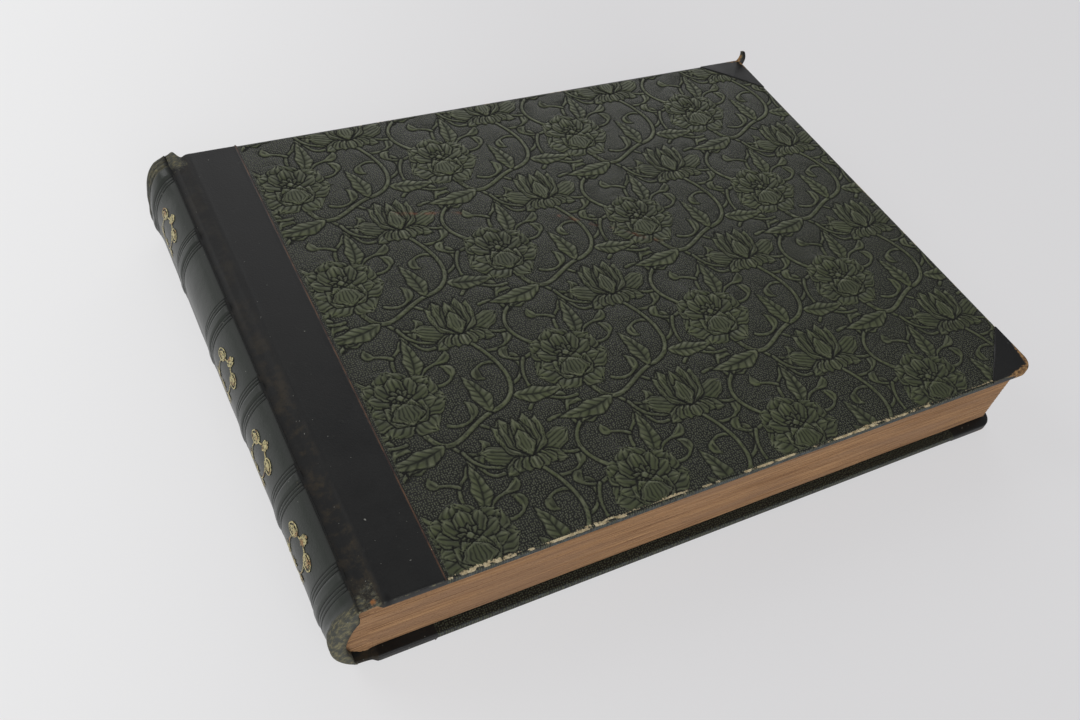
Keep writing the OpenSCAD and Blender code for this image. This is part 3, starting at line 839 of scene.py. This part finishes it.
def leather_corner(front, side):
    """A leather corner: flat face, edge over the board and turn-in."""
    radius = TAIL_BUMP_R if side < 0 else HEAD_BUMP_R
    path, inward = corner_outline(side, radius)
    edge = swept(path, inward, wrap_profile(TOP, TOP - COVER_T, TURN_IN))
    t = np.linspace(0, 1, len(path))[:, None]
    inner = np.array([X_FORE - EDGE_R, side * (HALF_H - CORNER_W)]) * (1 - t)
    inner = inner + np.array([X_FORE - CORNER_W, side * (HALF_H - EDGE_R)]) * t
    steps = np.linspace(0, 1, 40)[None, :, None]
    flat_xy = inner[:, None, :] * (1 - steps) + edge[:, :1, :2] * steps
    flat_z = np.full(flat_xy.shape[:2] + (1,), TOP)
    flat_z[:, 0] = TOP - PAPER_DROP - 0.1
    flat_xy[:, 1] = flat_xy[:, 0]
    points = np.concatenate([np.concatenate([flat_xy, flat_z], axis=2), edge[:, 1:]], axis=1)
    x, y, z = points[..., 0], points[..., 1], points[..., 2]
    points[..., 2] -= 0.12 * noise(x, y, 6, 41) * (z > TOP - 0.01)
    out = (X_FORE - x) + (HALF_H - np.abs(y))
    depth = TOP - z
    rim = np.minimum(X_FORE - x, HALF_H - np.abs(y))
    tip = smooth(22, 6, out) * smooth(6.5, 0.8, rim)
    arris = mound(0.5, 0.7, depth) * smooth(2.5, 0.3, rim)
    worn = 1.0 if front and side < 0 else 0.5
    looks = {
        "wear": worn * (0.8 * tip + 0.42 * arris) * smooth(COVER_T + 0.2, COVER_T - 1.2, depth),
        "rub_and_highlight": 0.5 * arris + 0.35 * smooth(26, 8, out) * worn,
        "dark": 0.6 * smooth(0.55, 0.2, out - CORNER_W) * (out > CORNER_W),
    }
    name = f"{side_name(front)}_{'tail' if side < 0 else 'head'}_corner"
    return grid_piece(name, placed(points, front), LEATHER, looks, flip=(side > 0) == front)


def curled_flap():
    """Shred of leather that stands up from the front head corner."""
    across = np.linspace(-1, 1, 7)
    up = np.linspace(0, 1, 14)
    rows = []
    for t in up:
        half = FLAP_W / 2 * (1 - 0.5 * t)
        x = X_FORE - 1.5 + 2.2 * sin(2.4 * t) + half * across
        y = HALF_H - 2.2 - 0.6 * half * across + t
        z = TOP - 0.5 + FLAP_H * t**1.2 - 0.5 * across**2
        rows.append(np.stack([x, y, z], axis=1))
    points = np.array(rows)
    away = np.broadcast_to(up[:, None], points.shape[:2])
    left = smooth(0.6, -0.6, np.broadcast_to(across[None, :], away.shape))
    looks = {"rub_and_highlight": 0.4 + 0.2 * left, "wear": 0.62 * left * smooth(1.0, 0.5, away) + 0.1}
    flap = grid_piece("front_head_corner_flap", points, LEATHER, looks)
    thick = flap.modifiers.new("thick", "SOLIDIFY")
    thick.thickness = 0.4 * MM
    apply_modifiers(flap)
    return flap


def head_pull(y):
    """Where the head cap is pulled up and out, from fingers that took the book off its shelf."""
    return smooth(CAP_Y - 13, CAP_Y - 2, y)


def strip_height(x):
    """Top of the leather from the joint crease to the edge of the side paper."""
    rise = 0.45 * smooth(X_HINGE, X_BOARD, x) + 0.55 * smooth(X_BOARD - 4.5, X_BOARD + 1.2, x)
    crease = MID_Z + CREASE_Z - 0.35
    height = crease + (TOP - crease) * rise + 0.05 * mound(X_BOARD + 1.6, 0.9, x)
    ruled = (x > fillet_low[0]) & (x < fillet_high[0])
    return np.where(ruled, height - FILLET_DEPTH, height)


def leather_strip(front):
    """Leather of the joint and of the board beside it, turned in at the tail and head."""
    groove = [fillet_low[0], fillet_low[0] + 0.02, fillet_high[0] - 0.02, fillet_high[0]]
    xs = np.concatenate([
        np.linspace(X_HINGE - 0.6, X_BOARD + 2.5, 36),
        np.arange(X_BOARD + 3.2, fillet_low[0] - 0.3, 0.8),
        groove,
        [X_STRIP - 0.1, X_STRIP, X_STRIP],
    ])
    top = strip_height(xs)
    top[-1] = TOP - PAPER_DROP - 0.1
    onto_board = smooth(X_BOARD - 2.5, X_BOARD, xs)
    half = CAP_Y + (HALF_H - CAP_Y) * onto_board
    bottom = TOP - COVER_T * onto_board - (1 - onto_board) * (SPINE_LEATHER_T + 2.2)
    bottom = np.minimum(bottom, top - 2 * EDGE_R - 0.05)
    arc = np.linspace(0, pi / 2, 7)
    r = EDGE_R
    ys = np.linspace(-1, 1, 520)
    rows = []
    for x, t, b, h in zip(xs, top, bottom, half):
        over = [(-h + r - r * cos(a), b + r - r * sin(a)) for a in arc[::-1]]
        up = [(-h + r - r * cos(a), t - r + r * sin(a)) for a in arc]
        tail = [(-h + TURN_IN, b)] + over + up
        flat = [(y * (h - r), t) for y in ys[1:-1]]
        head = [(-y, z) for y, z in tail[::-1]]
        rows.append([(x, y, z) for y, z in tail + flat + head])
    points = np.array(rows)
    x, y, z = points[..., 0], points[..., 1], points[..., 2]
    facing = z > top[:, None] - 0.3
    near_crease = smooth(X_HINGE + 3.2, X_HINGE, x)
    in_joint = smooth(X_BOARD + 1, X_BOARD - 1.5, x)
    nips = sum(mound(band, 2.6, y) for band in BAND_Y)
    uneven = (noise(x, y, 9, 11) - 0.5) * 0.3 + (noise(x, y, 2.2, 12) - 0.5) * 0.08
    level = 0.55 * smooth(-70, 90, y) * smooth(X_HINGE, X_HINGE + 3.5, x)
    points[..., 2] += facing * in_joint * np.maximum(TOP - top[:, None], 0) * level
    points[..., 2] += facing * in_joint * (uneven - 0.5 * nips * near_crease)
    points[..., 2] -= facing * (1 - in_joint) * 0.12 * noise(x, y, 14, 13) * (x < fillet_low[0] - 1)
    lobe = head_pull(y) * smooth(X_HINGE + 6.5, X_HINGE + 2.5, x) * front
    lifted = np.where(facing, 0.8 + 0.35 * mound(X_HINGE + 2, 2, x), 0.4)
    points[..., 2] += HEAD_LOBE * lobe * lifted
    points[..., 1] += HEAD_SHIFT * lobe
    tail_end = smooth(HALF_H - 22, HALF_H - 3, -y)
    head_end = smooth(HALF_H - 22, HALF_H - 3, y)
    ridge = mound(X_BOARD + 0.8, 1.1, x)
    tear = 0.6 * mound(X_BOARD - 3.2, 2.2, x) * mound(-HALF_H + 2.2, 2.6, y) * front
    # A small dent at the tail, only painted as shade
    dent_shade = mound(X_BOARD + 1.6, 1.5, x) * mound(-HALF_H + 1.5, 2.2, y) * front
    arris = mound(0.6, 0.7, top[:, None] - z) * (x > X_BOARD)
    arris = arris * smooth(HALF_H - 3, HALF_H - 0.5, np.abs(y))
    rub_and_highlight = in_joint * (0.18 + 0.34 * tail_end * front + 0.3 * head_end)
    # Painted shade: darker along the joint crease, more where the bands nip into it, and in a small
    # dent at the tail
    dark = np.clip(facing * near_crease * in_joint * (0.5 + 0.45 * nips) + dent_shade, 0, 1)
    looks = {
        # Rubbed leather in the joint and on the arrises, plus a painted highlight along the ridge
        # at the board's edge
        "rub_and_highlight": rub_and_highlight + 0.25 * lobe + 0.12 * ridge * facing + 0.5 * arris,
        "wear": 0.95 * tear + 0.16 * arris * noise(x, y, 5, 14),
        "dark": dark * (1 - tear) * (1 - 0.8 * lobe),
        "valley": in_joint * (0.35 + 0.65 * smooth(40, -90, y)),
    }
    name = f"{side_name(front)}_leather_skin"
    return grid_piece(name, placed(points, front), LEATHER, looks, flip=front)


# Spine


def spine_profile():
    """Section of the spine leather from inside the tail cap to inside the head cap."""
    inner = SPINE_R - CAP_DEPTH
    arc = np.linspace(0, pi / 2, 9)
    lip, r = CAP_T / 2, CAP_T / 2
    tail = [(inner + 0.6, -CAP_Y + CAP_T)]
    tail += [(inner + lip - lip * sin(a) + 0.3, -CAP_Y + lip + lip * cos(a)) for a in arc[:-1]]
    tail += [(inner + lip + k * (SPINE_R - r - inner - lip) / 6, -CAP_Y) for k in range(6)]
    tail += [(SPINE_R - r + r * sin(a), -CAP_Y + r - r * cos(a)) for a in arc]
    coarse = np.arange(-CAP_Y + 2 * r, CAP_Y - 2 * r, 0.7)
    away = np.abs(coarse[:, None] - np.array(BAND_Y)[None, :]).min(axis=1)
    fine = [band + k for band in BAND_Y for k in np.arange(-7.6, 7.61, 0.19)]
    ys = np.sort(np.concatenate([coarse[away > 7.7], [y for y in fine if abs(y) < CAP_Y - 2 * r]]))
    head = [(rho, -y) for rho, y in tail[::-1]]
    return np.array(tail + [(SPINE_R, y) for y in ys] + head)


def spine_skin():
    """Leather round the spine, moulded over the bands, with blind lines and rolled caps."""
    profile = spine_profile()
    angles = np.linspace(-SPINE_HALF, SPINE_HALF, 96)
    rho = np.broadcast_to(profile[:, 0], (len(angles), len(profile))).copy()
    y = np.broadcast_to(profile[:, 1], rho.shape)
    angle = np.broadcast_to(angles[:, None], rho.shape)
    outer = rho > SPINE_R - 0.6
    rise = np.zeros_like(rho)
    dark = np.zeros_like(rho)
    line_ridge_highlight = np.zeros_like(rho)
    half_band = BAND_W / 2 + SPINE_LEATHER_T
    for band in BAND_Y:
        away = np.abs(y - band)
        rise += 0.6 * BAND_RISE * smooth(half_band + 0.1, half_band - 1.5, away)
        for k in range(3):
            line = mound(half_band + k * LINE_PITCH, 0.27, away)
            rise -= 0.3 * line
            dark += 0.7 * line
            # Painted highlight on the ridges between the blind lines
            line_ridge_highlight += 0.3 * mound(half_band + (k - 0.4) * LINE_PITCH, 0.25, away)
        rise += 0.12 * smooth(half_band + 2.4 * LINE_PITCH, half_band + 1.6 * LINE_PITCH, away)
    from_crease = (SPINE_HALF - np.abs(angle)) * SPINE_R
    knob = mound(3.2, 1.6, from_crease)
    nip = smooth(1.9, 0.2, from_crease)
    bands = sum(smooth(half_band + 3.4, half_band + 2.4, np.abs(y - band)) for band in BAND_Y)
    rise = rise * (1 + 0.2 * knob) * (1 - 0.8 * nip) - 0.4 * nip * bands
    shoulder = smooth(0.3, 0.6, GILT_ANGLE - angle) * smooth(0, 5.0, from_crease)
    rise += (0.95 + 0.85 * y / CAP_Y) * shoulder
    at_cap = smooth(CAP_Y - 6.0, CAP_Y - 3.2, np.abs(y))
    rise += 0.3 * at_cap - 0.25 * mound(CAP_Y - 6.5, 1.5, np.abs(y))
    pulled = head_pull(y)
    rise += 1.1 * smooth(CAP_Y - 22, CAP_Y - 6, y) * smooth(0, 6, from_crease)
    rise += HEAD_LOBE * pulled * smooth(0.1, 0.7, angle)
    arc_mm = angle * SPINE_R
    uneven = -0.16 * noise(arc_mm, y, 9, 21) - 0.04 * noise(arc_mm, y, 2.5, 22)
    depth = SPINE_R - rho
    shallow = 0.5 + 0.5 * smooth(-0.75, 0.35, angle)
    rho = np.where(depth > CAP_T / 2, SPINE_R - CAP_T / 2 - (depth - CAP_T / 2) * shallow, rho)
    rho = rho + np.where(outer, rise + uneven, 0.8 * rise * smooth(CAP_DEPTH, 0, depth))
    y = y + HEAD_SHIFT * pulled * smooth(-1.0, 0.3, angle)
    closing = smooth(SPINE_HALF - 0.3, SPINE_HALF, np.abs(angle))
    thin = SPINE_R - SPINE_LEATHER_T
    rho = np.where(outer, rho, rho + np.maximum(thin - rho, 0) * closing)
    points = np.dstack([SPINE_X - rho * np.cos(angle), y, MID_Z + rho * np.sin(angle)])
    cap = smooth(CAP_Y - 9, CAP_Y - 1.5, np.abs(y))
    tail = y < 0
    handled = np.where(tail, 0.74, 0.42 + 0.3 * smooth(0.2, 0.7, angle))
    # Painted shade: the leather darkens towards the crease and where the band ends are nipped into
    # it
    crease = 0.55 * smooth(1.5, 0.3, from_crease) + 0.45 * smooth(5.5, 1.0, from_crease)
    crease = crease * outer * (1 - 0.8 * pulled)
    # Painted shade inside the caps
    inside = smooth(4.5, 7.5, depth)
    dark = 0.85 * dark * outer + 0.9 * crease + 0.7 * nip * bands + 0.6 * inside
    looks = {
        # The whole spine takes its greener tone, lightened as a painted sheen
        "glaze_and_sheen": np.ones_like(y),
        # Rubbed caps are wear; the ridges between the blind lines and the band knobs get a painted
        # highlight
        "rub_and_highlight": cap * handled + 0.15 * knob * bands + line_ridge_highlight * outer,
        "wear": 0.3 * smooth(CAP_Y - 2.5, CAP_Y - 0.5, np.abs(y)) * smooth(0.35, 0.8, angle) * tail,
        "dark": np.clip(dark, 0, 0.95),
    }
    return grid_piece("spine_skin", points, LEATHER, looks, flip=True)


# Leaves


def leaf_block():
    """The leaves, one solid whose edges show their layers, rounded and backed at the spine."""
    lining_r = SPINE_X - block_low[0]
    flat_x, _, flat_top = extent("front_flyleaf")[0]
    flat_t = flat_top - MID_Z
    shoulder_t = (block_high[2] - block_low[2]) / 2
    shoulder_x = SPINE_X - sqrt(lining_r**2 - shoulder_t**2)
    flare = shoulder_t / flat_t
    zs = np.linspace(-flat_t, flat_t, 170)
    along = np.linspace(0, 1, 120)
    rows = []
    for k, z in enumerate(zs):
        x0 = SPINE_X - sqrt(lining_r**2 - (flare * z) ** 2)
        xs = x0 + (X_LEAVES - x0) * along
        ys = -LEAVES_Y + 2 * LEAVES_Y * along
        step = 0.35 * (lattice(np.float64(k), 3.0, 5) - 0.5)
        tail = [(x, -LEAVES_Y + step + 0.4 * (noise(x, z, 35, 31) - 0.5), z) for x in xs]
        fore = [(X_LEAVES + step * 0.8 - 0.3 * noise(y, z, 40, 32), y, z) for y in ys[1:-1]]
        head = [(x, LEAVES_Y - step - 0.4 * (noise(x, z, 35, 33) - 0.5), z) for x in xs[::-1]]
        rows.append(tail + fore + head)
    points = np.array(rows)
    backed = np.clip((flat_x - points[..., 0]) / (flat_x - shoulder_x), 0, 1)
    points[..., 2] = MID_Z + points[..., 2] * (1 + (flare - 1) * backed)
    count, cols = points.shape[:2]
    faces = grid_faces(count, cols, closed=True).tolist()
    strips = [[i, i + 1, cols - 2 - i, cols - 1 - i] for i in range(len(along) - 2)]
    strips.append(list(range(len(along) - 2, cols - len(along) + 2)))
    for first, turn in ((0, -1), ((count - 1) * cols, 1)):
        faces += [[first + i for i in strip[::turn]] for strip in strips]
    above = points[..., 2].ravel() - MID_Z
    # Leaf edges made lighter towards the top of the block
    looks = {"wear": 0.42 * smooth(flat_t - 3, flat_t + 2, above)}
    leaves = piece("leaves", points.reshape(-1, 3), faces, LEAVES, looks)
    leaves.data.shade_flat()
    return leaves


# Dressing the model


def dress(obj, body, slot, *nodes):
    """Makes a piece ride on a body and stand for CAD nodes."""
    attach(obj, body)
    if nodes:
        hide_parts(*nodes)


def dress_cover(front):
    side = side_name(front)
    body = f"{side}_cover"
    dress(side_panel(front), body, "embossed_paper", f"{side}_side_paper")
    for end in ("tail", "fore", "head"):
        dress(paper_edge(front, end), body, "embossed_paper")
    for side_y, end in ((-1, "tail"), (1, "head")):
        dress(leather_corner(front, side_y), body, "leather", f"{side}_corner_{end}")
    strip = leather_strip(front)
    z = hinge[2] if front else TOP - hinge[2]
    start, end = (((X_HINGE + away) * MM, 0, z * MM) for away in (-0.5, 4.5))
    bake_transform(strip)
    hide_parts(f"{side}_leather_strip")


def paint_nodes():
    """Gives the CAD nodes that stay their materials."""
    finishes = {
        foxed_endpaper(): ["front_flyleaf", "back_flyleaf", "front_pastedown", "back_pastedown"],
        pasteboard(): ["front_board", "back_board"],
        glued_linings(): ["spine_lining"],
        hemp_cord(): [f"band_{i}" for i in range(1, 7)],
        gold_tooling(): [f"gilt_wreath_{i}" for i in range(1, 5)],
        ruled_gilt(): ["front_fillet", "back_fillet"],
    }
    for material, nodes in finishes.items():
        for node in nodes:
            mesh = frame["nodes"][node].data
            mesh.materials.clear()
            mesh.materials.append(material)


# Studio

# Camera fitted to the photograph: place in millimetres, angles in degrees
CAMERA_AT = (X_BOARD - 83.45, -298.0, 393.9)
CAMERA_AZIMUTH = -36.817
CAMERA_ELEVATION = 47.844
CAMERA_ROLL = 13.230
CAMERA_LENS = 35.9


def aim(azimuth, elevation, roll):
    """Rotation of a camera that looks back along its own +Z."""
    a, e, r = radians(azimuth), radians(elevation), radians(roll)
    back = Vector((sin(a) * cos(e), -cos(a) * cos(e), sin(e)))
    right = (-back).cross(Vector((0, 0, 1))).normalized()
    up = right.cross(-back)
    turned_right = right * cos(r) + up * sin(r)
    turned_up = up * cos(r) - right * sin(r)
    return Matrix((turned_right, turned_up, back)).transposed().to_4x4()


def camera():
    """The photograph's camera, with its clipping brought in for a small object."""
    data = bpy.data.cameras.new("camera")
    data.sensor_width = 36
    data.lens = CAMERA_LENS
    data.clip_start = 0.01
    obj = bpy.data.objects.new("camera", data)
    turned = aim(CAMERA_AZIMUTH, CAMERA_ELEVATION, CAMERA_ROLL)
    obj.matrix_world = Matrix.Translation(Vector(CAMERA_AT) * MM) @ turned
    bpy.context.scene.collection.objects.link(obj)
    bpy.context.scene.camera = obj


def softbox(name, at, size, power):
    """A rectangular lamp at a place in metres, turned to the book."""
    data = bpy.data.lights.new(name, "AREA")
    data.shape = "RECTANGLE"
    data.size, data.size_y = size
    data.energy = power
    obj = bpy.data.objects.new(name, data)
    obj.location = at
    obj.rotation_euler = Vector(at).to_track_quat("Z", "Y").to_euler()
    bpy.context.scene.collection.objects.link(obj)


def studio():
    """Pale floor, even sky and three soft lamps: one in front, one left, a low one behind."""
    mesh = bpy.data.meshes.new("floor")
    mesh.from_pydata([(-6, -6, 0), (6, -6, 0), (6, 6, 0), (-6, 6, 0)], [], [(0, 1, 2, 3)])
    mesh.materials.append(studio_paper())
    floor = bpy.data.objects.new("floor", mesh)
    bpy.context.scene.collection.objects.link(floor)
    world = bpy.data.worlds.new("studio")
    world.use_nodes = True
    sky = world.node_tree.nodes["Background"]
    sky.inputs["Color"].default_value = linear("#e8e9ec")
    sky.inputs["Strength"].default_value = 0.3
    bpy.context.scene.world = world
    softbox("window", (0.9, 1.9, 0.9), (1.8, 1.1), 11)
    softbox("left", (-1.5, 1.3, 1.5), (1.2, 1.2), 15)
    softbox("front", (-0.5, -2.1, 1.2), (1.8, 1.4), 28)
    bpy.context.scene.view_settings.view_transform = "Standard"


camera()
studio()
paint_nodes()
dress(leaf_block(), "book_block", "leaves", "text_block")
dress(spine_skin(), "book_block", "leather", "spine_leather")
for is_front in (True, False):
    dress_cover(is_front)
dress(curled_flap(), "front_cover", "leather")
